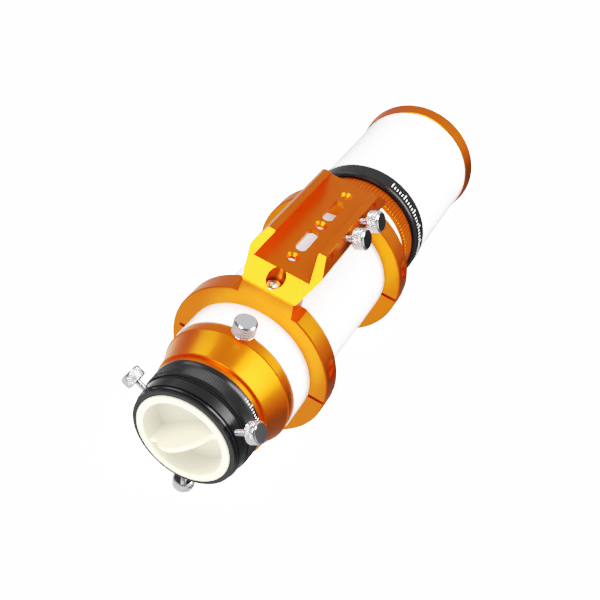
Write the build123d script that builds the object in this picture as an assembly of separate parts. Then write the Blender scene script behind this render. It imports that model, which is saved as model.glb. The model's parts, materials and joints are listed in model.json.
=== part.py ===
"""Small refractor telescope: 61 mm objective, 76 mm tube, two split rings and a saddle handle.

Frame: +Y points along the optical axis towards the sky, +Z is up through the saddle, +X is to
the right when looking along +Y.  The stored origin is the centre of the two base holes, on the
plane of the base flats.  Stations below are counted from the rim of the rear dust plug and
heights from the optical axis; save() carries them to the stored origin.  Sizes in millimetres.
"""
from build123d import *
import math
import os

os.makedirs("parts", exist_ok=True)

# ---- fits and running gaps ------------------------------------------------------------------
SLIDE_FIT = 0.05          # radial clearance of parts that slide or turn in each other
SCREW_FIT = 0.05          # radial clearance of a screw shank in its hole
END_GAP = 0.15            # gap between end faces that pass each other
BODY_GAP = 0.4            # gap between the dew shield bore and the parts it slides over

# ---- rear dust plug and visual back ---------------------------------------------------------
SOCKET_NOMINAL_R = 25.4   # two-inch accessory barrel
PLUG_RIM_R = 27.0
PLUG_RIM_T = 1.0
PLUG_DEPTH = 14.0         # depth of the finger cup
PLUG_FLOOR_T = 2.0
PLUG_WALL = 2.4
PLUG_WEB_T = 2.6
PLUG_WEB_RISE = 8.0       # how far the arched finger grip stands out of the rim
PLUG_WEB_TURN = 42.0      # angle of the grip from +X towards +Z, degrees
BACK_WALL = 5.75          # rim of the back outside the socket bore
BACK_LEN = 9.4
BACK_NECK_STEP = 1.6      # neck below the back's rim
BACK_NECK_LEN = 1.4
BACK_SPIGOT_WALL = 2.15
BACK_SPIGOT_LEN = 18.0
CLAMP_BAND_T = 1.3
CLAMP_BAND_LEN = 4.6
CLAMP_BAND_SLIT = 2.0
BACK_SCREW_TURNS = (156.0, 38.0, -84.0)
BACK_SCREW_Y = 5.6        # from the back's rear face

# ---- thumbscrews ----------------------------------------------------------------------------
STEM_R = 1.7
BACK_HEAD_R = 5.9
BACK_HEAD_LEN = 6.5
BACK_STEMS_OUT = (4.9, 8.1, 4.9)   # bare stem between the back and each head
LOCK_STEM_R = 2.0
LOCK_HEAD_R = 6.3
LOCK_HEAD_LEN = 8.4
LOCK_STEM_OUT = 2.6
SADDLE_HEAD_R = 6.0
SADDLE_HEAD_LEN = 7.2
SADDLE_STEM_OUT = 5.0

# ---- drawtube and tail piece ----------------------------------------------------------------
DRAW_JOURNAL_WALL = 3.35  # drawtube wall outside the back's spigot
DRAW_WALL = 2.8
DRAW_LEN = 100.0
DRAW_COLLAR_T = 1.4
DRAW_COLLAR_LEN = 12.0
TAIL_NECK_T = 0.85        # neck of the tail piece outside the drawtube way
TAIL_NECK_LEN = 3.2
TAIL_RIM_T = 2.45
TAIL_RIM_LEN = 0.9
TAIL_CONE_T = 2.0         # small end of the cone, just ahead of the rim
TAIL_CONE_SAG = 0.2       # hollow of the cone's side
TAIL_BAND_INSET = 0.6     # band below the tube's surface
TAIL_LIP_RISE = 0.5       # lip above the band
TAIL_CONE_LEN = 19.2      # from the rear face to the lip
TAIL_LIP_LEN = 1.4
TAIL_BAND_LEN = 5.1
TAIL_SPIGOT_LEN = 12.0
LINER_T = 0.9
LINER_LEN = 12.0

# ---- main tube ------------------------------------------------------------------------------
TUBE_R = 38.0
TUBE_WALL = 2.2
TUBE_LEN = 151.2
BAFFLE_T = 1.2
BAFFLE_REAR_R = 24.5
DRAW_BAFFLE_R = 21.5
BAFFLE_FRONT_R = 28.0

# ---- front focuser and lens cell ------------------------------------------------------------
NOSE_INSET = 2.0          # nose below the tube's surface
NOSE_WALL = 2.95
NOSE_LEN = 12.5
FOCUS_RING_RISE = 1.2     # focus ring above the tube's surface
FOCUS_RING_LEN = 14.0
FOCUS_TRAVEL = 6.0
PIN_R = 1.5
LENS_INSET = 0.15         # lens rim below the nose bore
LENS_SEAT = 2.2           # radial land that holds each lens
REAR_LENS_EDGE = 5.5
LENS_AIR = 1.0
FRONT_LENS_EDGE = 4.5
SAG_FRONT = 2.7
SAG_REAR = 3.4
CELL_FLANGE_LEN = 10.0
CELL_FELT_LEN = 6.0
CELL_FELT_T = 1.3
CELL_BARREL_T = 2.6
CELL_BARREL_LEN = 11.0

# ---- dew shield -----------------------------------------------------------------------------
DEW_WALL = 1.2
DEW_LEN = 104.0
DEW_COLLAR_LEN = 12.7
DEW_COLLAR_T = 0.8
DEW_RING_LEN = 10.5
DEW_RING_RISE = 1.9

# ---- tube rings -----------------------------------------------------------------------------
RING_WALL = 10.25
RING_WIDTH = 12.8
RING_PITCH = 103.2
RING_SETBACK = 17.8       # bare tube between the tail band and the rear ring
RING_BEVEL = 0.6
RING_SEAT_DROP = 4.3      # flat on top of each ring, below the ring's crown
RING_BASE_DROP = 2.7      # flat at the bottom of each ring, below the ring's rim
RING_BASE_W = 25.0
RING_SLIT = 2.0
RING_RELIEF_W = 2.2       # relief slot opposite the slit, rounded at its outer end
RING_RELIEF_DEPTH = 6.3
RING_SCREW_IN = 4.8       # clamp screw axis from the ring's rim
RING_SCREW_HEAD_Z = 7.5
RING_TAP_R = 3.0          # M6 thread in the base flat, at its full size
RING_TAP_DEPTH = 9.0
PAD_T = 0.9
PAD_LEN = 8.0
CLAMP_SHANK_R = 1.5       # M3 clamp screw
CLAMP_HEAD_R = 2.75
CLAMP_HEAD_LEN = 3.0
CLAMP_TIP_Z = -14.0

# ---- saddle handle: heights are above the seats on the rings --------------------------------
SADDLE_UNDER_RISE = 9.4
SADDLE_UNDER_W = 31.4
SADDLE_WAIST_RISE = 21.0
SADDLE_WAIST_W = 42.8
SADDLE_TOP_RISE = 28.5
SADDLE_TOP_W = 34.4
CHANNEL_DEPTH = 10.5
CHANNEL_FLOOR_W = 33.6
CHANNEL_MOUTH_W = 25.6
CHANNEL_BREAK = 0.5       # broken inner edges of the wall tops
SADDLE_FLOOR_T = 3.2      # channel floor between the feet
SADDLE_HOLLOW_W = 22.0
SADDLE_SLOPE = 1.25       # forward run of the end faces per unit of rise
FOOT_FLARE = 0.3
BOLT_SETOFF = 0.2         # saddle bolt from mid ring, towards mid saddle
BOLT_R = 2.5              # M5 socket cap screw
BOLT_HEAD_R = 4.25
BOLT_HEAD_LEN = 5.0
BOLT_SEAT_RISE = 5.0
BOLT_LEN = 9.0
HOLLOW_END_WALL = 1.5     # foot left standing past each end of the hollow
COUNTERBORE_R = 5.0
CSK_PITCH = 34.0
CSK_HOLE_R = 2.1
CSK_TOP_R = 3.6
SLOT_OFFSET = 16.5
SLOT_GAP = 2.7            # floor left between a slot and a countersink
SLOT_W = 6.3
SIDE_SCREW_OFFSET = 9.6
SIDE_HOLE_OFFSET = 28.0
SIDE_HOLE_R = 1.5
SIDE_SCREW_DROP = 2.6     # side screw axis below the wall top, on the outer face

# ---- stations along the optical axis --------------------------------------------------------
socket_r = SOCKET_NOMINAL_R + SLIDE_FIT
back_r = socket_r + BACK_WALL
back_neck_r = back_r - BACK_NECK_STEP
spigot_r = socket_r + BACK_SPIGOT_WALL
draw_r = spigot_r + SLIDE_FIT + DRAW_JOURNAL_WALL
draw_bore_r = draw_r - DRAW_WALL
draw_collar_r = draw_r + DRAW_COLLAR_T
draw_way_r = draw_r + SLIDE_FIT
tail_neck_r = draw_way_r + TAIL_NECK_T
tail_rim_r = draw_way_r + TAIL_RIM_T
tail_cone_r = draw_way_r + TAIL_CONE_T
tail_band_r = TUBE_R - TAIL_BAND_INSET
tail_lip_r = tail_band_r + TAIL_LIP_RISE
nose_r = TUBE_R - NOSE_INSET
nose_bore_r = nose_r - NOSE_WALL
lens_r = nose_bore_r - LENS_INSET
lens_clear_r = lens_r - LENS_SEAT
focus_ring_r = TUBE_R + FOCUS_RING_RISE
ring_bore_r = TUBE_R + SLIDE_FIT
ring_r = ring_bore_r + RING_WALL
seat_z = ring_r - RING_SEAT_DROP
base_z = -ring_r - RING_BASE_DROP
ring_screw_x = ring_r - RING_SCREW_IN
back_y = PLUG_RIM_T
neck_y = back_y + BACK_LEN
collar_y = neck_y + BACK_NECK_LEN + END_GAP
tail_y = collar_y + DRAW_COLLAR_LEN + END_GAP
lip_y = tail_y + TAIL_CONE_LEN
band_y = lip_y + TAIL_LIP_LEN
tube_y = band_y + TAIL_BAND_LEN
tube_bore_r = TUBE_R - TUBE_WALL
nose_y = tube_y + TUBE_LEN
focus_y = nose_y + END_GAP
cell_y = focus_y + FOCUS_RING_LEN + 2 * END_GAP
dew_bore_r = focus_ring_r + BODY_GAP + 0.1
dew_r = dew_bore_r + DEW_WALL
ring_rear_y = tube_y + RING_SETBACK
ring_front_y = ring_rear_y + RING_PITCH
saddle_mid_y = (ring_rear_y + ring_front_y + RING_WIDTH) / 2
saddle_half = (RING_PITCH + RING_WIDTH) / 2


def turned(*corners):
    """Solid of revolution about the optical axis from (radius, station) corners."""
    return revolve(make_face(Polyline(*corners, close=True)), Axis.Y, 360)


def sleeve(inner_r, outer_r, start_y, end_y):
    """Plain ring about the optical axis."""
    return turned((inner_r, start_y), (outer_r, start_y), (outer_r, end_y), (inner_r, end_y))


def rod(radius, length):
    """Cylinder standing on Z = 0."""
    return Cylinder(radius, length, align=(Align.CENTER, Align.CENTER, Align.MIN))


def around(turn, station, solid):
    """Carry a solid built along +Z to a radial direction, turn degrees from +X towards +Z."""
    return Pos(0, station, 0) * Rot(0, 90 - turn, 0) * solid


def thumbscrew(stem_r, head_r, tip, head_at, head_len):
    """Thumbscrew along +Z: stem from tip to the head, bevelled cylindrical head."""
    edge = 0.8
    head = Pos(0, 0, head_at) * rod(head_r, head_len)
    head = chamfer(head.edges().filter_by(GeomType.CIRCLE), edge)
    stem = Pos(0, 0, tip) * rod(stem_r, head_at - tip + edge)
    return head + stem


def cap_screw(shank_r, shank_len, head_r, head_len, key):
    """Socket cap screw along +Z with the underside of the head at Z = 0."""
    socket = extrude(RegularPolygon(key / 2, 6, major_radius=False), head_len * 0.55)
    head = chamfer(rod(head_r, head_len).edges().sort_by(Axis.Z)[-1], 0.4)
    body = head + Pos(0, 0, -shank_len) * rod(shank_r, shank_len + 0.1)
    return body - Pos(0, 0, head_len * 0.45) * socket


def save(solid, node):
    """Write one node in the stored frame."""
    export_step(Pos(0, -saddle_mid_y, -base_z) * solid, os.path.join("parts", node + ".step"))


# ---- rear dust plug: cup with an arched finger grip -----------------------------------------
cup_r = SOCKET_NOMINAL_R - PLUG_WALL
plug = turned(
    (0, PLUG_DEPTH),
    (cup_r, PLUG_DEPTH),
    (cup_r, 0.3),
    (cup_r + 0.3, 0),
    (PLUG_RIM_R - 0.3, 0),
    (PLUG_RIM_R, 0.3),
    (PLUG_RIM_R, PLUG_RIM_T),
    (SOCKET_NOMINAL_R, PLUG_RIM_T),
    (SOCKET_NOMINAL_R, PLUG_DEPTH + PLUG_FLOOR_T - 0.8),
    (SOCKET_NOMINAL_R - 0.8, PLUG_DEPTH + PLUG_FLOOR_T),
    (0, PLUG_DEPTH + PLUG_FLOOR_T),
)
grip_half = cup_r - 4.5
grip_edges = [
    Line((-cup_r - 0.5, PLUG_DEPTH + 0.5), (-cup_r - 0.5, 1.2)),
    Line((-cup_r - 0.5, 1.2), (-grip_half, 1.2)),
    ThreePointArc((-grip_half, 1.2), (0, -PLUG_WEB_RISE), (grip_half, 1.2)),
    Line((grip_half, 1.2), (cup_r + 0.5, 1.2)),
    Line((cup_r + 0.5, 1.2), (cup_r + 0.5, PLUG_DEPTH + 0.5)),
    Line((cup_r + 0.5, PLUG_DEPTH + 0.5), (-cup_r - 0.5, PLUG_DEPTH + 0.5)),
]
grip = extrude(make_face(grip_edges), PLUG_WEB_T / 2, both=True)
plug = plug + Rot(0, -PLUG_WEB_TURN, 0) * grip
save(plug, "rear_plug")

# ---- visual back: socket, grooves, neck and the spigot it turns on --------------------------
band_room_r = socket_r + CLAMP_BAND_T + 0.3
band_room_y = back_y + BACK_SCREW_Y - CLAMP_BAND_LEN / 2 - END_GAP
band_room_len = CLAMP_BAND_LEN + 2 * END_GAP
back = turned(
    (socket_r + 0.4, back_y),
    (back_r - 1.5, back_y),
    (back_r - 1.2, back_y + 0.3),
    (back_r - 1.2, back_y + 1.1),
    (back_r - 2.2, back_y + 1.2),
    (back_r - 2.2, back_y + 1.5),
    (back_r - 0.9, back_y + 1.7),
    (back_r - 0.7, back_y + 2.7),
    (back_r - 1.7, back_y + 2.9),
    (back_r - 1.7, back_y + 3.4),
    (back_r - 0.3, back_y + 3.6),
    (back_r, neck_y - 0.4),
    (back_r - 0.4, neck_y),
    (back_neck_r, neck_y),
    (back_neck_r, neck_y + BACK_NECK_LEN),
    (spigot_r, neck_y + BACK_NECK_LEN),
    (spigot_r, neck_y + BACK_NECK_LEN + BACK_SPIGOT_LEN),
    (socket_r, neck_y + BACK_NECK_LEN + BACK_SPIGOT_LEN),
    (socket_r, band_room_y + band_room_len),
    (band_room_r, band_room_y + band_room_len),
    (band_room_r, band_room_y),
    (socket_r, band_room_y),
    (socket_r, back_y + 0.4),
)
back_screw_tip = band_room_r - 0.2
for turn in BACK_SCREW_TURNS:
    hole = Pos(0, 0, band_room_r - 1) * rod(STEM_R + SCREW_FIT, back_r - band_room_r + 2)
    back = back - around(turn, back_y + BACK_SCREW_Y, hole)
save(back, "visual_back")

clamp_band = sleeve(
    socket_r + 0.05, socket_r + 0.05 + CLAMP_BAND_T - 0.05,
    band_room_y + END_GAP, band_room_y + END_GAP + CLAMP_BAND_LEN,
)
band_slit = Pos(0, 0, socket_r) * Box(CLAMP_BAND_SLIT, CLAMP_BAND_LEN * 2, 8)
clamp_band = clamp_band - around(95, back_y + BACK_SCREW_Y, band_slit)
save(clamp_band, "clamp_band")

back_screw_names = ("back_screw_left", "back_screw_right", "back_screw_low")
for turn, stem_out, node in zip(BACK_SCREW_TURNS, BACK_STEMS_OUT, back_screw_names):
    tip = back_screw_tip + stem_out - min(BACK_STEMS_OUT)
    back_screw = thumbscrew(STEM_R, BACK_HEAD_R, tip, back_r + stem_out, BACK_HEAD_LEN)
    save(around(turn, back_y + BACK_SCREW_Y, back_screw), node)

# ---- drawtube and its knurled collar --------------------------------------------------------
draw_end_y = collar_y + DRAW_LEN
journal_end_y = neck_y + BACK_NECK_LEN + BACK_SPIGOT_LEN + 2
drawtube = turned(
    (spigot_r + SLIDE_FIT, collar_y),
    (draw_r, collar_y),
    (draw_r, draw_end_y - 0.6),
    (draw_r - 0.6, draw_end_y),
    (draw_bore_r, draw_end_y),
    (draw_bore_r, journal_end_y),
    (spigot_r + SLIDE_FIT, journal_end_y),
)
save(drawtube, "drawtube")
knurl_end_y = collar_y + DRAW_COLLAR_LEN * 0.71
draw_collar = turned(
    (draw_r, collar_y),
    (draw_collar_r - 0.8, collar_y),
    (draw_collar_r - 0.5, collar_y + 0.3),
    (draw_collar_r - 0.5, collar_y + 0.8),
    (draw_collar_r - 0.9, collar_y + 0.9),
    (draw_collar_r - 0.9, collar_y + 1.3),
    (draw_collar_r - 0.3, collar_y + 1.5),
    (draw_collar_r - 0.3, knurl_end_y),
    (draw_collar_r, knurl_end_y + 0.2),
    (draw_collar_r, collar_y + DRAW_COLLAR_LEN - 0.3),
    (draw_collar_r - 0.3, collar_y + DRAW_COLLAR_LEN),
    (draw_r, collar_y + DRAW_COLLAR_LEN),
)
save(draw_collar, "draw_collar")
save(sleeve(DRAW_BAFFLE_R, draw_bore_r, draw_end_y - 8, draw_end_y - 8 + BAFFLE_T), "draw_baffle")

# ---- tail piece: neck, rear rim, cone, lip and band, spigot into the main tube ---------------
liner_y = tail_y + 5
rim_y = tail_y + TAIL_NECK_LEN
rim_end_y = rim_y + TAIL_RIM_LEN
tail_edges = Polyline(
    (tail_band_r, lip_y),
    (tail_lip_r, lip_y + 0.3),
    (tail_lip_r, band_y - 0.3),
    (tail_band_r, band_y),
    (tail_band_r, tube_y),
    (tube_bore_r, tube_y),
    (tube_bore_r, tube_y + TAIL_SPIGOT_LEN),
    (draw_way_r, tube_y + TAIL_SPIGOT_LEN),
    (draw_way_r, liner_y + LINER_LEN),
    (draw_way_r + LINER_T, liner_y + LINER_LEN),
    (draw_way_r + LINER_T, liner_y),
    (draw_way_r, liner_y),
    (draw_way_r, tail_y + 0.3),
    (draw_way_r + 0.3, tail_y),
    (tail_neck_r, tail_y),
    (tail_neck_r, rim_y),
    (tail_rim_r - 0.3, rim_y),
    (tail_rim_r, rim_y + 0.3),
    (tail_rim_r, rim_end_y - 0.2),
    (tail_cone_r, rim_end_y),
).edges()
tail_cone = ThreePointArc(
    (tail_cone_r, rim_end_y),
    ((tail_cone_r + tail_band_r) / 2 - TAIL_CONE_SAG, (rim_end_y + lip_y) / 2),
    (tail_band_r, lip_y),
)
tail = revolve(make_face([*tail_edges, tail_cone]), Axis.Y, 360)
lock_y = (band_y + tube_y) / 2
lock_hole = Pos(0, lock_y, draw_way_r - 1) * rod(LOCK_STEM_R + SCREW_FIT, tail_lip_r - draw_way_r + 2)
save(tail - lock_hole, "tail_piece")
save(sleeve(draw_way_r, draw_way_r + LINER_T, liner_y, liner_y + LINER_LEN), "draw_liner")
lock_screw = thumbscrew(
    LOCK_STEM_R, LOCK_HEAD_R, draw_way_r + 0.15, tail_band_r + LOCK_STEM_OUT, LOCK_HEAD_LEN,
)
save(Pos(0, lock_y, 0) * lock_screw, "lock_screw")

# ---- main tube with two light baffles -------------------------------------------------------
save(sleeve(tube_bore_r, TUBE_R, tube_y, nose_y), "main_tube")
save(sleeve(BAFFLE_REAR_R, tube_bore_r, draw_end_y + 14, draw_end_y + 14 + BAFFLE_T), "baffle_rear")
save(sleeve(BAFFLE_FRONT_R, tube_bore_r, nose_y - 32, nose_y - 32 + BAFFLE_T), "baffle_front")

# ---- tube nose: journal of the focus ring, guide of the lens cell ---------------------------
pin_y = nose_y + 3.4
nose = turned(
    (nose_bore_r, nose_y - 12),
    (tube_bore_r, nose_y - 12),
    (tube_bore_r, nose_y),
    (nose_r, nose_y),
    (nose_r, nose_y + NOSE_LEN),
    (nose_bore_r, nose_y + NOSE_LEN),
)
guide_slot = Pos(0, pin_y + FOCUS_TRAVEL / 2, nose_r - 2) * Box(
    2 * (PIN_R + SCREW_FIT), FOCUS_TRAVEL + 2 * PIN_R + 0.6, 6
)
for turn in (90, 210, 330):
    nose = nose - Rot(0, 90 - turn, 0) * guide_slot
save(nose, "tube_nose")

# ---- knurled focus ring ---------------------------------------------------------------------
focus_end_y = focus_y + FOCUS_RING_LEN
focus_ring = turned(
    (nose_r + SLIDE_FIT, focus_y),
    (focus_ring_r - 1.0, focus_y),
    (focus_ring_r - 0.6, focus_y + 0.5),
    (focus_ring_r - 0.6, focus_y + 1.6),
    (focus_ring_r - 0.2, focus_y + 1.9),
    (focus_ring_r, focus_end_y - 0.5),
    (focus_ring_r - 0.5, focus_end_y),
    (nose_r + SLIDE_FIT, focus_end_y),
)
save(focus_ring, "focus_ring")

# ---- lens cell with guide pins --------------------------------------------------------------
skirt_r = nose_bore_r - SLIDE_FIT
flange_end_y = cell_y + CELL_FLANGE_LEN
seat_y = cell_y + 3
seat_r = lens_r + 0.1
barrel_r = seat_r + CELL_BARREL_T
felt_y = cell_y + (CELL_FLANGE_LEN - CELL_FELT_LEN) / 2
felt_r = dew_bore_r - SLIDE_FIT
flange_r = felt_r - 0.6
barrel_end_y = flange_end_y + CELL_BARREL_LEN
cell = turned(
    (lens_clear_r, pin_y - 2.5),
    (skirt_r, pin_y - 2.5),
    (skirt_r, cell_y),
    (flange_r, cell_y),
    (flange_r, felt_y),
    (felt_r - CELL_FELT_T, felt_y),
    (felt_r - CELL_FELT_T, felt_y + CELL_FELT_LEN),
    (flange_r, felt_y + CELL_FELT_LEN),
    (flange_r, flange_end_y - 0.5),
    (flange_r - 0.5, flange_end_y),
    (barrel_r, flange_end_y),
    (barrel_r, barrel_end_y - 0.5),
    (barrel_r - 0.5, barrel_end_y),
    (seat_r, barrel_end_y),
    (seat_r, seat_y),
    (lens_clear_r, seat_y),
)
guide_pin = Pos(0, 0, skirt_r - 1) * rod(PIN_R, nose_r - 0.1 - skirt_r + 1)
for turn in (90, 210, 330):
    cell = cell + around(turn, pin_y, guide_pin)
save(cell, "lens_cell")
save(sleeve(felt_r - CELL_FELT_T, felt_r, felt_y, felt_y + CELL_FELT_LEN), "cell_felt")

# ---- air-spaced doublet ---------------------------------------------------------------------
rear_edge_y = seat_y + REAR_LENS_EDGE
front_edge_y = rear_edge_y + LENS_AIR
front_top_y = front_edge_y + FRONT_LENS_EDGE


def lens(rear_y, rear_sag, front_y, front_sag):
    """Lens of revolution; sags are how far each face centre stands forward of its edge."""
    def face_arc(edge_y, sag):
        return ThreePointArc((0, edge_y + sag), (lens_r / 2, edge_y + 0.75 * sag), (lens_r, edge_y))

    rim = Line((lens_r, rear_y), (lens_r, front_y))
    core = Line((0, rear_y + rear_sag), (0, front_y + front_sag))
    return revolve(
        make_face([core, face_arc(rear_y, rear_sag), rim, face_arc(front_y, front_sag)]), Axis.Y, 360
    )


save(lens(seat_y, 0.4, rear_edge_y, -SAG_REAR + 0.1), "lens_rear")
save(lens(front_edge_y, -SAG_REAR, front_top_y, SAG_FRONT), "lens_front")
edge_share = 1 - (lens_clear_r / lens_r) ** 2
spacer = turned(
    (lens_clear_r, rear_edge_y - SAG_REAR * edge_share + 0.05),
    (lens_r, rear_edge_y + 0.02),
    (lens_r, front_edge_y - 0.04),
    (lens_clear_r, front_edge_y - SAG_REAR * edge_share - 0.06),
)
save(spacer, "lens_spacer")
retainer_y = front_top_y + SAG_FRONT * edge_share + 0.04
retainer = turned(
    (lens_clear_r, retainer_y),
    (seat_r, retainer_y),
    (seat_r, retainer_y + 4),
    (lens_clear_r + 1.2, retainer_y + 4),
    (lens_clear_r, retainer_y + 2.8),
)
save(retainer, "lens_retainer")

# ---- dew shield: black rear collar, white tube, front ring ----------------------------------
dew_collar_y = cell_y
dew_collar_r = dew_r + DEW_COLLAR_T
dew_tube_y = dew_collar_y + 1.8
dew_collar_end_y = dew_collar_y + DEW_COLLAR_LEN
dew_tube_end_y = dew_tube_y + DEW_LEN
dew_collar = turned(
    (dew_bore_r, dew_collar_y),
    (dew_collar_r - 1.3, dew_collar_y),
    (dew_collar_r - 0.4, dew_collar_y + 0.5),
    (dew_collar_r, dew_collar_y + 1.6),
    (dew_collar_r, dew_collar_end_y - 0.4),
    (dew_collar_r - 0.4, dew_collar_end_y),
    (dew_r, dew_collar_end_y),
    (dew_r, dew_tube_y),
    (dew_bore_r, dew_tube_y),
)
save(dew_collar, "dew_collar")
save(sleeve(dew_bore_r, dew_r, dew_tube_y, dew_tube_end_y), "dew_tube")
dew_ring_y = dew_tube_end_y + 2 - DEW_RING_LEN
dew_ring_r = dew_r + DEW_RING_RISE
dew_front_y = dew_tube_end_y + 2
dew_ring = turned(
    (dew_r, dew_ring_y),
    (dew_ring_r - 1.2, dew_ring_y + 0.6),
    (dew_ring_r, dew_front_y - 0.7),
    (dew_ring_r - 0.6, dew_front_y),
    (dew_bore_r + 0.4, dew_front_y),
    (dew_bore_r, dew_front_y - 0.4),
    (dew_bore_r, dew_tube_end_y),
    (dew_r, dew_tube_end_y),
)
save(dew_ring, "dew_ring")

# ---- tube rings -----------------------------------------------------------------------------
pad_edge = (RING_WIDTH - PAD_LEN) / 2
ring_blank = turned(
    (ring_bore_r, 0),
    (ring_r - RING_BEVEL, 0),
    (ring_r, RING_BEVEL),
    (ring_r, RING_WIDTH - RING_BEVEL),
    (ring_r - RING_BEVEL, RING_WIDTH),
    (ring_bore_r, RING_WIDTH),
    (ring_bore_r, RING_WIDTH - pad_edge),
    (ring_bore_r + PAD_T, RING_WIDTH - pad_edge),
    (ring_bore_r + PAD_T, pad_edge),
    (ring_bore_r, pad_edge),
)
base_top_z = -(ring_bore_r + PAD_T + 2)
base = Pos(0, RING_WIDTH / 2, (base_z + base_top_z) / 2) * Box(
    RING_BASE_W, RING_WIDTH, base_top_z - base_z
)
base = chamfer(base.edges().filter_by(Axis.Z), 1.0)
ring_blank = ring_blank + base
ring_blank = ring_blank - Pos(0, RING_WIDTH / 2, seat_z + 10) * Box(2 * ring_r, RING_WIDTH * 2, 20)
slit_mid_x = (ring_bore_r + ring_r) / 2
ring_blank = ring_blank - Pos(slit_mid_x, RING_WIDTH / 2, 0) * Box(
    ring_r - ring_bore_r + 6, RING_WIDTH * 2, RING_SLIT
)
relief_x = ring_bore_r + RING_RELIEF_DEPTH - RING_RELIEF_W / 2
relief = Pos(-(ring_bore_r + relief_x) / 2 + 1, RING_WIDTH / 2, 0) * Box(
    relief_x - ring_bore_r + 2, RING_WIDTH * 2, RING_RELIEF_W
)
relief_end = Pos(-relief_x, RING_WIDTH / 2, 0) * Rot(90, 0, 0) * Cylinder(RING_RELIEF_W / 2, RING_WIDTH * 2)
ring_blank = ring_blank - relief - relief_end
clamp_hole = Pos(ring_screw_x, RING_WIDTH / 2, CLAMP_TIP_Z - 1) * rod(
    CLAMP_SHANK_R + SCREW_FIT, RING_SCREW_HEAD_Z - CLAMP_TIP_Z + 2
)
clamp_pocket = Pos(ring_screw_x, RING_WIDTH / 2, RING_SCREW_HEAD_Z) * rod(CLAMP_HEAD_R + 0.35, 30)
ring_blank = ring_blank - clamp_hole - clamp_pocket
base_tap = Pos(0, RING_WIDTH / 2, base_z) * rod(RING_TAP_R, RING_TAP_DEPTH)
ring_blank = ring_blank - base_tap
clamp_screw = cap_screw(CLAMP_SHANK_R, RING_SCREW_HEAD_Z - CLAMP_TIP_Z, CLAMP_HEAD_R, CLAMP_HEAD_LEN, 2.5)
pad = sleeve(ring_bore_r, ring_bore_r + PAD_T, pad_edge, RING_WIDTH - pad_edge)
pad = pad - Pos(ring_bore_r, RING_WIDTH / 2, 0) * Box(6, RING_WIDTH * 2, RING_SLIT + 2)
bolt_hole = rod(BOLT_R + SCREW_FIT, 20)
for start_y, inward, end_name in ((ring_rear_y, 1, "rear"), (ring_front_y, -1, "front")):
    bolt_y = RING_WIDTH / 2 + inward * BOLT_SETOFF
    ring = ring_blank - Pos(0, bolt_y, ring_bore_r + PAD_T + 0.4) * bolt_hole
    save(Pos(0, start_y, 0) * ring, "ring_" + end_name)
    save(Pos(0, start_y, 0) * pad, "ring_pad_" + end_name)
    save(Pos(ring_screw_x, start_y + RING_WIDTH / 2, RING_SCREW_HEAD_Z) * clamp_screw,
         "clamp_screw_" + end_name)

# ---- saddle handle: channel bar on two feet, hollow underneath ------------------------------
under_z = seat_z + SADDLE_UNDER_RISE
waist_z = seat_z + SADDLE_WAIST_RISE
top_z = seat_z + SADDLE_TOP_RISE
floor_z = top_z - CHANNEL_DEPTH
break_run = CHANNEL_BREAK * (CHANNEL_FLOOR_W - CHANNEL_MOUTH_W) / 2 / CHANNEL_DEPTH
right_profile = [
    (SADDLE_UNDER_W / 2 - 1, under_z),
    (SADDLE_UNDER_W / 2 + 0.4, under_z + 0.8),
    (SADDLE_WAIST_W / 2 - 0.25, waist_z - 0.5),
    (SADDLE_WAIST_W / 2 - 0.25, waist_z + 0.5),
    (SADDLE_TOP_W / 2 + 0.12, top_z - 0.3),
    (SADDLE_TOP_W / 2 - 0.2, top_z),
    (CHANNEL_MOUTH_W / 2 + CHANNEL_BREAK, top_z),
    (CHANNEL_MOUTH_W / 2 + break_run, top_z - CHANNEL_BREAK),
    (CHANNEL_FLOOR_W / 2, floor_z),
]
left_profile = [(-x, z) for x, z in reversed(right_profile)]
saddle_section = Polyline(*right_profile, *left_profile, close=True)
bar = extrude(Plane.XZ * make_face(saddle_section), saddle_half, both=True)
bar = Pos(0, saddle_mid_y, 0) * bar
rise = top_z - under_z
side_view = Polyline(
    (saddle_mid_y - saddle_half, under_z),
    (saddle_mid_y - saddle_half + rise * SADDLE_SLOPE, top_z),
    (saddle_mid_y + saddle_half - rise * SADDLE_SLOPE, top_z),
    (saddle_mid_y + saddle_half, under_z),
    close=True,
)
bar = bar & extrude(Plane.YZ * make_face(side_view), SADDLE_WAIST_W, both=True)
foot_len = RING_WIDTH - 0.2
hollow_len = 2 * (saddle_half - foot_len - HOLLOW_END_WALL)
hollow = Box(SADDLE_HOLLOW_W, hollow_len, floor_z - SADDLE_FLOOR_T - under_z + 2)
hollow = fillet(hollow.edges().filter_by(Axis.Z), 2.0)
bar = bar - Pos(0, saddle_mid_y, (floor_z - SADDLE_FLOOR_T + under_z - 2) / 2) * hollow
foot_section = Polyline(
    (-SADDLE_UNDER_W / 2 - FOOT_FLARE, seat_z),
    (SADDLE_UNDER_W / 2 + FOOT_FLARE, seat_z),
    (SADDLE_UNDER_W / 2 - 0.6, under_z + 0.4),
    (-SADDLE_UNDER_W / 2 + 0.6, under_z + 0.4),
    close=True,
)
foot = extrude(Plane.XZ * make_face(foot_section), foot_len / 2, both=True)
foot_in = saddle_half - 0.1 - foot_len / 2
bolt_seat_z = seat_z + BOLT_SEAT_RISE
bolt = cap_screw(BOLT_R, BOLT_LEN, BOLT_HEAD_R, BOLT_HEAD_LEN, 4)
saddle = bar
for side in (-1, 1):
    saddle = saddle + Pos(0, saddle_mid_y + side * foot_in, 0) * foot
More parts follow.
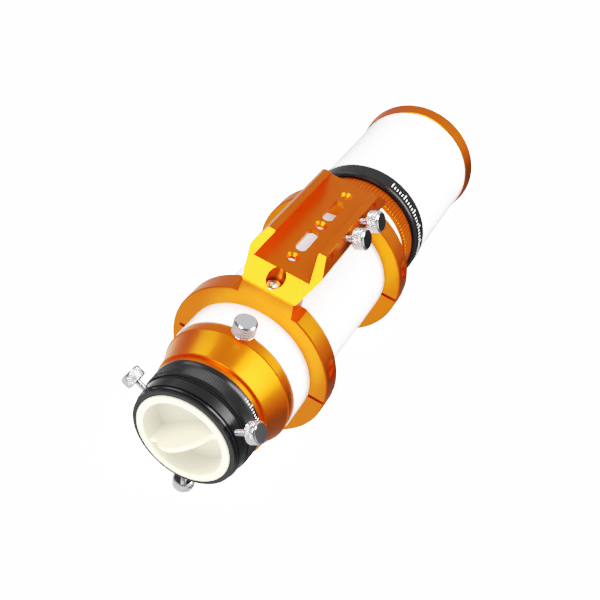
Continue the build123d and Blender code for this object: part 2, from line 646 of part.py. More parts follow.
for side, end_name in ((-1, "rear"), (1, "front")):
    at_y = saddle_mid_y + side * (saddle_half - RING_WIDTH / 2 - BOLT_SETOFF)
    saddle = saddle - Pos(0, at_y, bolt_seat_z) * rod(COUNTERBORE_R, top_z - bolt_seat_z + 5)
    saddle = saddle - Pos(0, at_y, seat_z - 1) * rod(BOLT_R + SCREW_FIT, BOLT_SEAT_RISE + 2)
    save(Pos(0, at_y, bolt_seat_z) * bolt, "saddle_bolt_" + end_name)

floor_under_z = floor_z - SADDLE_FLOOR_T
for step in (-1, 0, 1):
    hole = Pos(0, 0, -1) * rod(CSK_HOLE_R, SADDLE_FLOOR_T + 2)
    cone_len = CSK_TOP_R - CSK_HOLE_R
    cone = Pos(0, 0, SADDLE_FLOOR_T - cone_len / 2) * Cone(CSK_HOLE_R, CSK_TOP_R, cone_len)
    saddle = saddle - Pos(0, saddle_mid_y + step * CSK_PITCH, floor_under_z) * (hole + cone)
slot_len = CSK_PITCH - 2 * (CSK_TOP_R + SLOT_GAP)
for side in (-1, 1):
    slot = extrude(SlotOverall(slot_len, SLOT_W, rotation=90), SADDLE_FLOOR_T + 2)
    saddle = saddle - Pos(0, saddle_mid_y + side * SLOT_OFFSET, floor_under_z - 1) * slot

# side screws stand square to the outer upper face of the right wall
wall_run = (SADDLE_WAIST_W - SADDLE_TOP_W) / 2
wall_rise = top_z - waist_z
side_tilt = math.degrees(math.atan2(wall_run, wall_rise))
side_x = SADDLE_TOP_W / 2 + SIDE_SCREW_DROP * wall_run / wall_rise
side_z = top_z - SIDE_SCREW_DROP


def at_side(offset, solid):
    """Carry a solid built along +Z to the side screw axis, Z = 0 on the outer wall face."""
    return Pos(side_x, saddle_mid_y + offset, side_z) * Rot(0, 90 - side_tilt, 0) * solid


inner_wall_depth = (SADDLE_TOP_W - CHANNEL_MOUTH_W) / 2 + 1.2
for offset in (-SIDE_SCREW_OFFSET, SIDE_SCREW_OFFSET, -SIDE_HOLE_OFFSET, SIDE_HOLE_OFFSET):
    is_screw = abs(offset) == SIDE_SCREW_OFFSET
    hole_r = STEM_R + SCREW_FIT if is_screw else SIDE_HOLE_R
    saddle = saddle - at_side(offset, Pos(0, 0, -10) * rod(hole_r, 14))
save(saddle, "saddle")
side_screw = thumbscrew(
    STEM_R, SADDLE_HEAD_R, -inner_wall_depth + 1.6, SADDLE_STEM_OUT, SADDLE_HEAD_LEN,
)
save(at_side(-SIDE_SCREW_OFFSET, side_screw), "side_screw_rear")
save(at_side(SIDE_SCREW_OFFSET, side_screw), "side_screw_front")
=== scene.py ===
"""Looks of a small white and gold refractor telescope with split rings and a saddle handle."""
import json
import math

import bpy
import numpy as np
from mathutils import Matrix, Vector

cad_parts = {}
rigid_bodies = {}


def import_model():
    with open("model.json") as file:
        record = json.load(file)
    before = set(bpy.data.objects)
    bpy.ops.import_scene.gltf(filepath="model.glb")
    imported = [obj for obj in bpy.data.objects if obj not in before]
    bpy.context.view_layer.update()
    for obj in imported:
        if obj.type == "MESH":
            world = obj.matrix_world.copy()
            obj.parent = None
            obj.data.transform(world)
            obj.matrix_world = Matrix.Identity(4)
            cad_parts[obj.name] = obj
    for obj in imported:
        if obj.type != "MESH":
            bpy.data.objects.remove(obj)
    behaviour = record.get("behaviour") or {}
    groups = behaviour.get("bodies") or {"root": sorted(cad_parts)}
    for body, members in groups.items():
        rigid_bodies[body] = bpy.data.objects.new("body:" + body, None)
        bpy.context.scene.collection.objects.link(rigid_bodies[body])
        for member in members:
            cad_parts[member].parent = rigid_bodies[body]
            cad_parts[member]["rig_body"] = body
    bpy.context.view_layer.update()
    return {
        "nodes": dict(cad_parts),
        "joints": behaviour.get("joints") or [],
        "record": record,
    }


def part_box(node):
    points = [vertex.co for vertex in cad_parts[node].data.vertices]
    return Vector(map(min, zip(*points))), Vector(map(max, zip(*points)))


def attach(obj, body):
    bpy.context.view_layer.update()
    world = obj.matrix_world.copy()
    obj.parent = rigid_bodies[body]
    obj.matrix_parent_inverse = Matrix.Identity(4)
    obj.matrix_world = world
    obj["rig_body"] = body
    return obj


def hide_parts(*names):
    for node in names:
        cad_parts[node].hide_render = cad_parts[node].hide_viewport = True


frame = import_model()
nodes = frame["nodes"]
joints = {j["name"]: j for j in frame["joints"]}
slot_of = {s["node"]: s["material_slot"] for s in frame["record"]["subparts"]}
MM = 0.001
MICRON = 0.000001
AXIS_Z = joints["back_turn"]["pos_m"][2]      # height of the optical axis above the base flats

# inputs and output of a Mix node that is set to colours
MIX_SHARE, MIX_FIRST, MIX_SECOND, MIX_RESULT = 0, 6, 7, 2


# ---- shader arithmetic ----------------------------------------------------------------------
class Wire:
    """A socket's value in Python arithmetic; every operator adds one Math node."""

    def __init__(self, finish, socket):
        self.finish = finish
        self.socket = socket

    def math(self, operation, *others):
        inputs = dict(enumerate((self, *others)))
        return self.finish.add("ShaderNodeMath", {"operation": operation}, inputs)

    def __add__(self, other):
        return self.math("ADD", other)

    def __mul__(self, other):
        return self.math("MULTIPLY", other)

    def __sub__(self, other):
        return self.math("SUBTRACT", other)

    def __rsub__(self, other):
        return self.finish.add("ShaderNodeMath", {"operation": "SUBTRACT"}, {0: other, 1: self})

    def __truediv__(self, other):
        return self.math("DIVIDE", other)

    def __pow__(self, other):
        return self.math("POWER", other)

    def __gt__(self, other):
        return self.math("GREATER_THAN", other)

    def __lt__(self, other):
        return self.math("LESS_THAN", other)

    __radd__ = __add__
    __rmul__ = __mul__


class Finish:
    """One material: a Principled shader, and the nodes that drive it."""

    def __init__(self, name, **constants):
        self.material = bpy.data.materials.new(name)
        self.material.use_nodes = True
        self.tree = self.material.node_tree
        self.tree.nodes.clear()
        self.shader = self.tree.nodes.new("ShaderNodeBsdfPrincipled")
        output = self.tree.nodes.new("ShaderNodeOutputMaterial")
        self.tree.links.new(self.shader.outputs[0], output.inputs["Surface"])
        self.place = self.add("ShaderNodeTexCoord", {}, {}, "Object")
        for key, value in constants.items():
            self.set(key.replace("_", " "), value)

    def add(self, kind, settings, sockets, output=0):
        """One node: its settings first, then the value or the link of each socket."""
        node = self.tree.nodes.new(kind)
        for key, value in settings.items():
            setattr(node, key, value)
        for key, value in sockets.items():
            self.feed(node.inputs[key], value)
        return Wire(self, node.outputs[output])

    def feed(self, socket, value):
        """Link a wire to a socket, or set a plain value on it."""
        if isinstance(value, Wire):
            self.tree.links.new(value.socket, socket)
        elif socket.type == "RGBA" and len(value) == 3:
            socket.default_value = (*value, 1.0)
        else:
            socket.default_value = value

    def set(self, name, value):
        self.feed(self.shader.inputs[name], value)

    def fed_by(self, name):
        """The wire that already feeds one of the shader's sockets."""
        return Wire(self, self.shader.inputs[name].links[0].from_socket)

    def axes(self):
        """Object coordinates X, Y, Z in metres."""
        split = self.add("ShaderNodeSeparateXYZ", {}, {0: self.place})
        return [Wire(self, split.socket.node.outputs[i]) for i in range(3)]

    def noise(self, scale, detail=3.0, roughness=0.5, stretch=(1, 1, 1)):
        """Cloudy value from 0 to 1; stretch slows the pattern along an axis."""
        place = self.place
        if stretch != (1, 1, 1):
            place = self.add("ShaderNodeMapping", {}, {"Vector": self.place, "Scale": stretch})
        sockets = {"Vector": place, "Scale": scale, "Detail": detail, "Roughness": roughness}
        return self.add("ShaderNodeTexNoise", {}, sockets, "Fac")

    def blend(self, share, first, second):
        """Colour that goes from first to second as share goes from 0 to 1."""
        sockets = {MIX_SHARE: share, MIX_FIRST: first, MIX_SECOND: second}
        return self.add("ShaderNodeMix", {"data_type": "RGBA"}, sockets, MIX_RESULT)

    def relief(self, height, depth, strength):
        """Bump of a 0 to 1 height, depth in metres."""
        sockets = {"Height": height, "Distance": depth, "Strength": strength}
        self.set("Normal", self.add("ShaderNodeBump", {}, sockets, "Normal"))


# ---- finishes -------------------------------------------------------------------------------
GOLD = (0.92, 0.175, 0.005)
GOLD_SHADE = (0.84, 0.150, 0.004)
COAT_WHITE = (0.88, 0.88, 0.87)
COAT_DUST = (0.80, 0.80, 0.78)
FLAT_BLACK = (0.006, 0.006, 0.006)
FLAT_BLACK_GRIT = (0.022, 0.021, 0.020)
TURNED = (0.02, 1, 0.02)      # stretch that draws turning lines round the optical axis


def satin_anodised(name, colour, shade, rough, turned=True):
    """Bead-blasted anodised aluminium: fine grain, faint turning lines, slow drift of dye."""
    f = Finish(name, Metallic=1.0)
    drift = f.noise(38.0, detail=2.0)
    grain = f.noise(5200.0, detail=2.0)
    f.set("Base Color", f.blend(drift, colour, shade))
    smear = f.noise(240.0, stretch=(1, 0.25, 1))
    f.set("Roughness", grain * 0.08 + smear * 0.07 + (rough - 0.07))
    height = grain
    if turned:
        lines = f.noise(2600.0, detail=1.0, stretch=TURNED)
        height = grain * 0.7 + lines * 0.3
    f.relief(height, depth=20 * MICRON, strength=0.55)
    return f


def white_tube_coat(name, skin_r):
    """White powder coat outside skin_r metres from the optical axis, flat black paint inside it.

    The coat is clear gloss with soft orange peel and a trace of dust.  The share of coat is 1
    where sqrt(x * x + lift * lift) > skin_r, lift being the height above the axis, and else 0.
    """
    f = Finish(name, Coat_Roughness=0.06, Specular_IOR_Level=0.5)
    x, _, z = f.axes()
    lift = z - AXIS_Z
    outside = (x * x + lift * lift).math("SQRT") > skin_r
    dust = f.noise(900.0, detail=5.0, roughness=0.7) ** 3.0
    coat = f.blend(dust, COAT_WHITE, COAT_DUST)
    grit = f.noise(2400.0)
    paint = f.blend(grit, FLAT_BLACK, FLAT_BLACK_GRIT)
    f.set("Base Color", f.blend(outside, paint, coat))
    f.set("Roughness", outside * -0.5 + (f.noise(60.0) * 0.10 + 0.72))
    f.set("Coat Weight", outside * 0.6)
    f.relief(f.noise(420.0, detail=2.0), depth=40 * MICRON, strength=0.35)
    return f


def black_anodised(name, rough=0.20):
    """Semi-gloss black anodising with fine turning lines."""
    f = Finish(name, Specular_IOR_Level=0.28)
    wear = f.noise(150.0, detail=4.0)
    f.set("Base Color", f.blend(wear, (0.0015, 0.0015, 0.0018), (0.005, 0.005, 0.0055)))
    lines = f.noise(3000.0, detail=1.0, stretch=TURNED)
    f.set("Roughness", lines * 0.06 + wear * 0.05 + (rough - 0.055))
    f.relief(lines, depth=10 * MICRON, strength=0.4)
    return f


def matt_black(name):
    """Flat anti-reflection paint with a gritty surface."""
    f = Finish(name, Specular_IOR_Level=0.3)
    grit = f.noise(2400.0)
    f.set("Base Color", f.blend(grit, FLAT_BLACK, FLAT_BLACK_GRIT))
    f.set("Roughness", grit * 0.2 + 0.72)
    f.relief(grit, depth=60 * MICRON, strength=0.6)
    return f


def bright_plate(name, colour, rough):
    """Chrome, nickel or brass with faint smears and hairline scratches."""
    f = Finish(name, Metallic=1.0)
    smear = f.noise(420.0, detail=4.0)
    hair = f.noise(5000.0, detail=1.0, stretch=(0.03, 0.4, 1))
    f.set("Base Color", f.blend(smear, colour, tuple(c * 0.86 for c in colour)))
    f.set("Roughness", smear * 0.06 + rough)
    f.relief(hair, depth=6 * MICRON, strength=0.3)
    return f


def moulded_ivory(name):
    """Satin off-white moulded plastic: fine spark texture, slight yellowing."""
    f = Finish(name, Subsurface_Weight=0.12, Subsurface_Scale=0.004, Specular_IOR_Level=0.45)
    f.set("Subsurface Radius", (1.0, 0.9, 0.6))
    tone = f.noise(55.0)
    spark = f.noise(2600.0, detail=2.0)
    f.set("Base Color", f.blend(tone, (0.76, 0.735, 0.55), (0.72, 0.69, 0.50)))
    f.set("Roughness", spark * 0.12 + 0.34)
    f.relief(spark, depth=30 * MICRON, strength=0.4)
    return f


def short_felt(name):
    """Black felt: soft sheen over a fibrous bump."""
    f = Finish(name, Sheen_Weight=0.4, Sheen_Roughness=0.5)
    fibre = f.noise(3500.0, detail=4.0, roughness=0.7)
    f.set("Base Color", f.blend(fibre, (0.010, 0.010, 0.010), (0.035, 0.034, 0.033)))
    f.set("Roughness", fibre * 0.1 + 0.85)
    f.relief(fibre, depth=200 * MICRON, strength=0.7)
    return f


def coated_glass(name):
    """Optical glass with a green-violet coating; tiny dust shows as roughness."""
    f = Finish(name, Transmission_Weight=1.0, IOR=1.5, Coat_Weight=0.7, Coat_Roughness=0.01)
    f.set("Coat Tint", (0.55, 0.95, 0.72))
    tone = f.noise(30.0, detail=2.0)
    f.set("Base Color", f.blend(tone, (0.94, 0.98, 0.96), (0.90, 0.95, 0.97)))
    f.set("Roughness", f.noise(3000.0, detail=4.0) ** 6.0 * 0.05 + 0.004)
    return f


TICK_STEP = 3.0          # degrees from one mark of a scale to the next
LONG_EVERY = 5           # every fifth mark is a long one
SHORT_MARK = 0.55        # length of a short mark as a share of a long one


def engrave_scale(f, paint, y_from, y_to, turn_from, turn_to, width):
    """Lay a graduated scale round the optical axis over the colour that a finish already has.

    Angle from +X towards +Z in degrees picks the mark, one every TICK_STEP; a mark is width
    degrees wide, and each LONG_EVERY-th one runs the full band from y_from to y_to, the others
    SHORT_MARK of it.
    """
    x, y, z = f.axes()
    turn = (z - AXIS_Z).math("ARCTAN2", x) * (180 / math.pi)
    index = turn / TICK_STEP
    near = index.math("ROUND")
    off = (index - near).math("ABSOLUTE") * TICK_STEP
    inside = (off < width / 2) * (turn > turn_from) * (turn < turn_to)
    long_index = near / LONG_EVERY
    is_long = (long_index - long_index.math("ROUND")).math("ABSOLUTE") < 0.01
    band = y_to - y_from
    reach = is_long * ((1 - SHORT_MARK) * band) + (y_from + SHORT_MARK * band)
    mask = inside * (y > y_from) * (y < reach)
    f.set("Base Color", f.blend(mask, f.fed_by("Base Color"), paint))


gold = satin_anodised("gold_anodised", GOLD, GOLD_SHADE, 0.34)
gold_flat = satin_anodised("gold_anodised_milled", GOLD, GOLD_SHADE, 0.36, turned=False)
chrome = bright_plate("bright_chrome", (0.86, 0.86, 0.88), 0.07)
SLOT_FINISH = {
    "gold": gold,
    "black_anodised": black_anodised("black_anodised"),
    "black_matt": matt_black("black_matt_paint"),
    "chrome": chrome,
    "bolt_steel": bright_plate("nickel_screw", (0.70, 0.67, 0.62), 0.20),
    "brass": bright_plate("plain_brass", (0.80, 0.58, 0.25), 0.28),
    "felt": short_felt("black_felt"),
    "glass": coated_glass("coated_glass"),
    "ivory_plastic": moulded_ivory("ivory_plastic"),
}
MILLED = ("saddle", "ring_rear", "ring_front")
COAT_T = 0.4 * MM        # depth below a white tube's skin at which the coat gives way to paint


def dress(piece, finish):
    """Give a piece one finish."""
    piece.data.materials.clear()
    piece.data.materials.append(finish.material)


for name, node in nodes.items():
    if slot_of[name] == "white_paint":
        outer_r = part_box(name)[1].x
        dress(node, white_tube_coat(name + "_coat", outer_r - COAT_T))
    elif name in MILLED:
        dress(node, gold_flat)
    else:
        dress(node, SLOT_FINISH[slot_of[name]])


# ---- mesh building --------------------------------------------------------------------------
def mesh_object(name, points, faces, finish):
    """A mesh object in the scene, from a point array and its faces, with one finish."""
    mesh = bpy.data.meshes.new(name)
    mesh.from_pydata(points.reshape(-1, 3).tolist(), [], faces)
    mesh.update()
    mesh.materials.append(finish.material)
    thing = bpy.data.objects.new(name, mesh)
    bpy.context.scene.collection.objects.link(thing)
    return thing


def mesh_piece(name, points, faces, finish, body, replaced):
    """A mesh object that rides on a CAD body and stands for CAD nodes."""
    piece = mesh_object(name, points, faces, finish)
    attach(piece, body)
    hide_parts(*replaced)
    return piece


def smooth_by_angle(piece, degrees):
    """Shade smooth, with edges sharper than the angle kept crisp."""
    piece.data.polygons.foreach_set("use_smooth", np.ones(len(piece.data.polygons), bool))
    piece.data.set_sharp_from_angle(angle=math.radians(degrees))


def full_turn(steps):
    """Angles of one turn in equal steps, as one row."""
    return np.linspace(0, 2 * math.pi, steps, endpoint=False)[None, :]


def ring_faces(rows, columns, wrap_rows):
    """Quads of a grid that closes on itself along its columns, and along its rows if asked."""
    r = np.arange(rows if wrap_rows else rows - 1)[:, None]
    c = np.arange(columns)[None, :]
    r_next = (r + 1) % rows
    c_next = (c + 1) % columns
    quads = np.stack(
        [r * columns + c, r * columns + c_next, r_next * columns + c_next, r_next * columns + c],
        axis=-1,
    )
    return quads.reshape(-1, 4)


KNURL_ROUNDNESS = 0.7    # power that rounds the ridges of a straight knurl


def knurled_ring(name, profile, ridges, depth, finish, body, replaced, per_ridge=8):
    """Ring with straight knurls.

    profile rows are (radius, station, knurl share) round a closed section; at angle a the radius
    is radius - depth * share * (1 - |cos(ridges * a / 2)| ** KNURL_ROUNDNESS), a row of rounded
    ridges.  The faces are wound inwards.
    """
    section = np.array(profile, float)
    angles = full_turn(ridges * per_ridge)
    valley = 1 - np.abs(np.cos(ridges * angles / 2)) ** KNURL_ROUNDNESS
    radius = (section[:, 0:1] - depth * section[:, 2:3] * valley) * MM
    points = np.stack(
        [
            radius * np.cos(angles),
            np.broadcast_to(section[:, 1:2] * MM, radius.shape),
            radius * np.sin(angles) + AXIS_Z,
        ],
        axis=-1,
    )
    faces = ring_faces(len(section), angles.size, True).tolist()
    piece = mesh_piece(name, points, faces, finish, body, replaced)
    smooth_by_angle(piece, 35)


def station_span(node):
    """Lowest and highest station of a node, in millimetres."""
    low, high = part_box(node)
    return low.y / MM, high.y / MM


def vertices(node):
    """Mesh points of a node, in metres."""
    return np.array([v.co for v in nodes[node].data.vertices], float)


def radii(node):
    """Smallest and largest radius of a node about the optical axis, in millimetres."""
    co = vertices(node)
    r = np.hypot(co[:, 0], co[:, 2] - AXIS_Z) / MM
    return r.min(), r.max()


# focus ring: lip, groove, then a knurled band with a bevelled front edge
start, end = station_span("focus_ring")
bore, rim = radii("focus_ring")
knurled_ring(
    "focus_ring_knurled",
    [
        (bore, start, 0),
        (rim - 1.0, start, 0),
        (rim - 0.65, start + 0.35, 0),
        (rim - 0.60, start + 1.30, 0),
        (rim - 0.95, start + 1.45, 0),
        (rim - 0.95, start + 1.75, 0),
        (rim - 0.45, start + 1.95, 0.2),
        (rim - 0.05, start + 2.40, 1),
        (rim, start + 3.0, 1),
        (rim, end - 2.4, 1),
        (rim, end - 1.6, 0.8),
        (rim - 0.25, end - 1.0, 0.2),
        (rim - 0.35, end - 0.5, 0),
        (rim - 0.8, end, 0),
        (bore, end, 0),
    ],
    ridges=106, depth=0.75, finish=gold,
    body="focus_ring", replaced=["focus_ring"],
)

# drawtube collar: lip, groove, fine knurl, plain band with a short scale
start, end = station_span("draw_collar")
bore, rim = radii("draw_collar")
knurl_end = start + (end - start) * 0.69
collar_black = black_anodised("black_anodised_scale")
engrave_scale(
    collar_black, (0.85, 0.85, 0.84),
    y_from=(knurl_end + 0.8) * MM, y_to=(end - 0.5) * MM,
    turn_from=22.0, turn_to=54.0, width=1.0,
)
knurled_ring(
    "draw_collar_knurled",
    [
        (bore, start, 0),
        (rim - 0.80, start, 0),
        (rim - 0.50, start + 0.25, 0),
        (rim - 0.50, start + 0.75, 0),
        (rim - 0.95, start + 0.85, 0),
        (rim - 0.95, start + 1.25, 0),
        (rim - 0.55, start + 1.45, 0.3),
        (rim - 0.15, start + 1.8, 1),
        (rim - 0.15, knurl_end - 0.5, 1),
        (rim - 0.15, knurl_end - 0.15, 0.6),
        (rim - 0.1, knurl_end + 0.15, 0),
        (rim, knurl_end + 0.35, 0),
        (rim, end - 0.35, 0),
        (rim - 0.35, end, 0),
        (bore, end, 0),
    ],
    ridges=150, depth=0.45, finish=collar_black,
    body="draw", replaced=["draw_collar"], per_ridge=6,
)

# dew shield collar: white scale marks where a maker would engrave the lens data
start, end = station_span("dew_collar")
scale_black = black_anodised("black_anodised_ring_scale", rough=0.27)
engrave_scale(
    scale_black, (0.88, 0.88, 0.87),
    y_from=(start + 4.4) * MM, y_to=(start + 8.8) * MM,
    turn_from=-15.0, turn_to=76.0, width=0.9,
)
dress(nodes["dew_collar"], scale_black)


# ---- thumbscrews with diamond knurl ---------------------------------------------------------
# sizes in millimetres
EDGE = 0.8               # bevel of the head
THREAD_PITCH = 0.7
THREAD_ROW = 0.14        # spacing of the rows that draw the thread
THREAD_DEPTH = 0.14
KNURL_DEPTH = 0.32
KNURL_SLOPE = 1.5        # steepness of the sides of a diamond
KNURL_ROWS = 22
POINTS_PER_TOOTH = 8
TIP_BEVEL = 0.25


def screw_sizes(co, axis):
    """Tip, underside and top of the head along the axis, and stem and head radii, in mm."""
    along = co @ axis
    across = np.linalg.norm(co - along[:, None] * axis, axis=1)
    on_head = across > 0.6 * across.max()
    at_tip = along < along.min() + 1e-6
    sizes = (along.min(), along[on_head].min(), along.max(), across[at_tip].max(), across.max())
    return [size / MM for size in sizes]


def screw_section(tip, low, high, stem_r, head_r):
    """Rows of radius, height, share of knurl and share of thread, from the tip to the top."""
    rows = [(0.0, tip, 0, 0), (stem_r - TIP_BEVEL, tip, 0, 0)]
    rows += [(stem_r, h, 0, 1) for h in np.arange(tip + 0.3, low - 0.05, THREAD_ROW)]
    rows += [
        (stem_r - 0.1, low, 0, 0),
        (head_r - EDGE, low, 0, 0),
        (head_r - 0.12, low + EDGE * 0.8, 0, 0),
        (head_r, low + EDGE, 0.2, 0),
    ]
    knurl_from, knurl_to = low + EDGE + 0.15, high - EDGE - 0.5
    rows += [(head_r, h, 1, 0) for h in np.linspace(knurl_from, knurl_to, KNURL_ROWS)]
    rows += [
        (head_r, high - EDGE - 0.3, 0.1, 0),
        (head_r - 0.05, high - EDGE - 0.15, 0, 0),
        (head_r - 0.20, high - EDGE + 0.1, 0, 0),
        (head_r - EDGE - 0.15, high - 0.12, 0, 0),
        (head_r - EDGE - 0.3, high, 0, 0),
        (head_r - EDGE - 0.6, high, 0, 0),
        (0.0, high, 0, 0),
    ]
    return np.array(rows, float)


def thumbscrew(node, joint, teeth):
    """Thumbscrew from its CAD node's own length and radii.

    The surface is a profile of (radius, height) rows turned about the screw's axis.  On the head
    two sets of helical grooves cross: at angle a and height h the radius drops by
    KNURL_DEPTH * (1 - one * two), where one = min(1, KNURL_SLOPE * |sin(teeth * a / 2 + k * h)|),
    two is the same with - k * h, and k = teeth / 2 / head radius.  The stem carries rounded
    thread ridges, THREAD_DEPTH * sin(2 pi h / THREAD_PITCH + a).  The side faces are wound
    inwards and the end discs outwards.
    """
    axis = Vector(joints[joint]["axis"]).normalized()
    base = np.array(Vector(joints[joint]["pos_m"]))
    side = axis.orthogonal().normalized()
    other = axis.cross(side)
    sizes = screw_sizes(vertices(node) - base, np.array(axis))
    head_r = sizes[-1]
    section = screw_section(*sizes)
    radius, height, knurl_share, thread_share = (section[:, i:i + 1] for i in range(4))

    count = teeth * POINTS_PER_TOOTH
    angles = full_turn(count)
    slope = teeth / 2 / head_r
    one = np.minimum(1, KNURL_SLOPE * np.abs(np.sin(teeth * angles / 2 + slope * height)))
    two = np.minimum(1, KNURL_SLOPE * np.abs(np.sin(teeth * angles / 2 - slope * height)))
    thread = THREAD_DEPTH * np.sin(2 * math.pi * height / THREAD_PITCH + angles) * thread_share
    knurl = KNURL_DEPTH * knurl_share * (1 - one * two)
    radius = np.maximum(radius - knurl - THREAD_DEPTH * thread_share + thread, 0) * MM
    points = (
        base
        + (height * MM)[..., None] * np.array(axis)
        + (radius * np.cos(angles))[..., None] * np.array(side)
        + (radius * np.sin(angles))[..., None] * np.array(other)
    )

    inner = points[1:-1]
    flat = np.concatenate([inner.reshape(-1, 3), points[0, :1], points[-1, :1]])
    tip_pole, top_pole = len(flat) - 2, len(flat) - 1
    step = np.arange(count)
    after = (step + 1) % count
    top_row = (len(inner) - 1) * count
    faces = ring_faces(len(inner), count, False)[:, ::-1].tolist()
    faces += np.stack([after, step, np.full(count, tip_pole)], 1).tolist()
    faces += np.stack([top_row + after, np.full(count, top_pole), top_row + step], 1).tolist()
    body = nodes[node]["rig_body"]
    piece = mesh_piece(node + "_knurled", flat, faces, chrome, body, [node])
    smooth_by_angle(piece, 32)


thumbscrew("lock_screw", "drawtube_lock", teeth=26)
for screw in (
    "back_screw_left", "back_screw_right", "back_screw_low",
    "side_screw_rear", "side_screw_front",
):
    thumbscrew(screw, screw + "_turn", teeth=24)


# ---- floor, light and camera ----------------------------------------------------------------
FLOOR_HALF = 20.0        # metres
FLOOR_GLOW = 1.75
TENT_R = 5.0             # metres
TENT_ROWS, TENT_COLUMNS = 48, 96
TENT_BASE = 0.20
TENT_CARDS = (           # direction, glow and narrowness; a negative glow darkens its side
    ((-0.20, -0.72, -0.67), 1.35, 2.0),
    ((-0.60, 0.45, -0.65), 1.5, 8.0),
    ((-0.20, 0.715, 0.67), 0.50, 3.0),
    ((0.93, -0.05, 0.30), 2.0, 14.0),
    ((0.66, 0.72, -0.23), -0.22, 14.0),
)
SURROUND_STRENGTH = 2.2
LAMP_AIM = (0.0, 0.0, 0.05)


def floor_sheet():
    """Flat square sheet under the object, FLOOR_HALF each way from its middle."""
    f = Finish("floor_paper", Roughness=0.55, Specular_IOR_Level=0.25)
    f.set("Base Color", f.blend(f.noise(3.0), (0.93, 0.93, 0.93), (0.95, 0.95, 0.95)))
    f.set("Emission Color", (1.0, 1.0, 1.0))
    f.set("Emission Strength", FLOOR_GLOW)
    corners = np.array([(-1, -1, 0), (1, -1, 0), (1, 1, 0), (-1, 1, 0)]) * FLOOR_HALF
    floor = mesh_object("floor", corners, [(0, 1, 2, 3)], f)
    floor.visible_glossy = False


def reflection_tent():
    """Sphere that only polished and satin metal can see.

    In direction d its glow is TENT_BASE, with a faint cloudiness, plus for each card
    glow * max(0, d . c) ** narrowness, where c is the unit vector from the object to the card.
    """
    fall = np.linspace(0, math.pi, TENT_ROWS + 1)[1:-1, None]
    turn = full_turn(TENT_COLUMNS)
    across, up = np.sin(fall), np.cos(fall) * np.ones_like(turn)
    grid = np.stack([across * np.cos(turn), across * np.sin(turn), up], axis=-1).reshape(-1, 3)
    points = np.concatenate([grid, [(0, 0, 1), (0, 0, -1)]]) * TENT_R
    top_pole, low_pole = len(grid), len(grid) + 1
    step = np.arange(TENT_COLUMNS)
    after = (step + 1) % TENT_COLUMNS
    last = (TENT_ROWS - 2) * TENT_COLUMNS
    faces = ring_faces(TENT_ROWS - 1, TENT_COLUMNS, False).tolist()
    faces += np.stack([np.full(TENT_COLUMNS, top_pole), after, step], 1).tolist()
    faces += np.stack([np.full(TENT_COLUMNS, low_pole), last + step, last + after], 1).tolist()

    f = Finish("tent_cloth", Base_Color=(0.0, 0.0, 0.0), Specular_IOR_Level=0.0)
    away = f.add("ShaderNodeVectorMath", {"operation": "NORMALIZE"}, {0: f.place}, "Vector")
    glow = f.noise(0.6, detail=1.0) * 0.02 + TENT_BASE
    for toward, card_glow, narrowness in TENT_CARDS:
        sockets = {0: away, 1: Vector(toward).normalized()}
        facing = f.add("ShaderNodeVectorMath", {"operation": "DOT_PRODUCT"}, sockets, "Value")
        glow = glow + facing.math("MAXIMUM", 0.0) ** narrowness * card_glow
    f.set("Emission Color", glow)
    f.set("Emission Strength", 1.0)
    tent = mesh_object("reflection_tent", points, faces, f)
    tent.visible_camera = False
    tent.visible_diffuse = False
    tent.visible_shadow = False
    tent.visible_transmission = False


def surround():
    """Even white surround that lights matt surfaces."""
    world = bpy.data.worlds.new("surround")
    bpy.context.scene.world = world
    world.use_nodes = True
    background = world.node_tree.nodes["Background"]
    background.inputs["Color"].default_value = (1.0, 1.0, 1.0, 1.0)
    background.inputs["Strength"].default_value = SURROUND_STRENGTH
    world.cycles_visibility.glossy = False


def lamp(name, at, size, power):
    """Rectangular soft lamp aimed at LAMP_AIM; size in metres, power in watts."""
    light = bpy.data.lights.new(name, "AREA")
    light.shape = "RECTANGLE"
    light.size, light.size_y = size
    light.energy = power
    holder = bpy.data.objects.new(name, light)
    bpy.context.scene.collection.objects.link(holder)
    holder.location = at
    direction = Vector(LAMP_AIM) - Vector(at)
    holder.rotation_euler = direction.to_track_quat("-Z", "Y").to_euler()


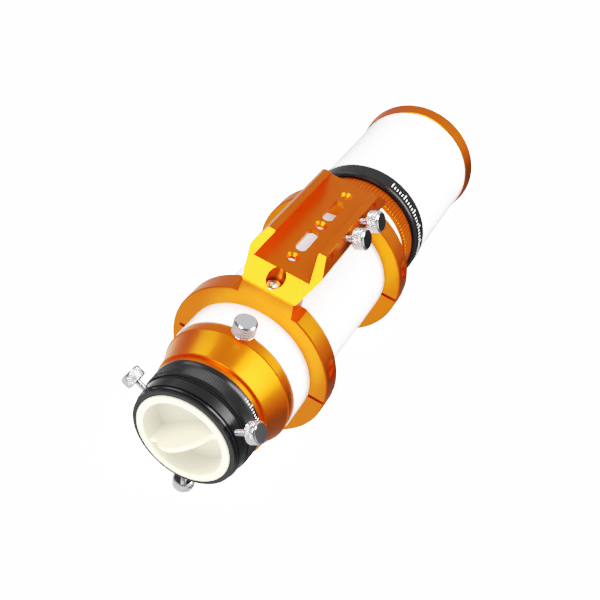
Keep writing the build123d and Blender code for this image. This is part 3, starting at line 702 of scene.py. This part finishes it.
floor_sheet()
reflection_tent()
surround()
lamp("key_lamp", at=(-0.33, -0.70, 1.25), size=(0.60, 0.60), power=26)
lamp("overhead_right_lamp", at=(0.80, 0.28, 1.00), size=(0.60, 1.15), power=30)
lamp("left_lamp", at=(-1.2, 0.4, 0.9), size=(0.5, 0.9), power=5)

CAMERA_AT = (0.1102, -0.4075, 0.4396)
CAMERA_RIGHT = (0.8635, 0.4477, 0.2321)
CAMERA_UP = (-0.4672, 0.5372, 0.7022)
SENSOR_MM = 36.0
LENS_MM = 58.2


def camera():
    """Camera behind and above the visual back, looking along the tube, turned about its sight."""
    lens = bpy.data.cameras.new("camera")
    lens.sensor_width = SENSOR_MM
    lens.lens = LENS_MM
    eye = bpy.data.objects.new("camera", lens)
    bpy.context.scene.collection.objects.link(eye)
    right = Vector(CAMERA_RIGHT)
    back = right.cross(Vector(CAMERA_UP)).normalized()
    up = back.cross(right).normalized()
    right.normalize()
    turn = Matrix((right, up, back)).transposed()
    eye.matrix_world = Matrix.Translation(CAMERA_AT) @ turn.to_4x4()
    bpy.context.scene.camera = eye


camera()

WHITE_LEVEL = 4.0        # scene brightness that prints as white
DARK_STOPS = ((0.0, 0.0), (0.02, 0.08), (0.06, 0.24))
BRIGHT_STOPS = ((0.125, 0.5), (0.25, 0.64), (0.435, 0.79), (0.64, 0.95), (1.0, 1.0))
COMBINED = 3             # the curve that acts on red, green and blue together


def print_curve():
    """Standard colours with a soft shoulder: highlights of the gold turn yellow as on film.

    The dark stops are joined by straight runs, so the curve doesn't bulge near black.
    """
    view = bpy.context.scene.view_settings
    view.view_transform = "Standard"
    view.use_curve_mapping = True
    mapping = view.curve_mapping
    mapping.white_level = (WHITE_LEVEL, WHITE_LEVEL, WHITE_LEVEL)
    curve = mapping.curves[COMBINED]
    stops = DARK_STOPS + BRIGHT_STOPS
    while len(curve.points) < len(stops):
        curve.points.new(0.5, 0.5)
    for point, stop in zip(curve.points, stops):
        point.location = stop
        point.handle_type = "VECTOR" if stop in DARK_STOPS else "AUTO"
    mapping.update()


print_curve()
